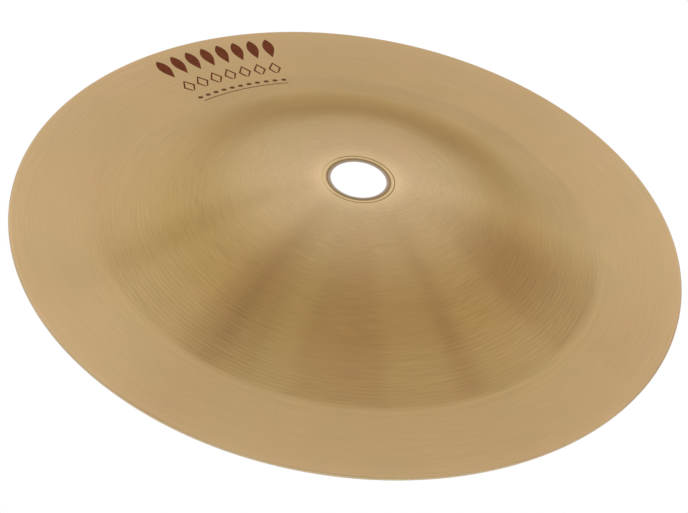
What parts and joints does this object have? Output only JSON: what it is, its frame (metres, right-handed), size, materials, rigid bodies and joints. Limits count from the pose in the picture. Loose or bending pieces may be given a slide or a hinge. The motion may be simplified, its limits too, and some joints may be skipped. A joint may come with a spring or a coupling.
{
  "type": "cup chime",
  "caption": "Small bronze cymbal-like chime: a turned plate with a low rounded cup, a flat flange outside a fine ring line, and a centre hole for a stand rod.",
  "frame": {"origin": "centre of the plate's underside plane, where the rim rests", "axes": "+Z along the axis of the hole, out through the crown; the printed ornament faces +Z"},
  "size_m": [0.1524, 0.1524, 0.017],
  "materials": {
    "bronze": "lathe-turned satin bronze with fine concentric tool lines, clear lacquered",
    "ink": "thin maroon screen-printed ink, used by the visual model only"
  },
  "bodies": {
    "root": {"chime_plate": "bronze"}
  },
  "joints": []
}
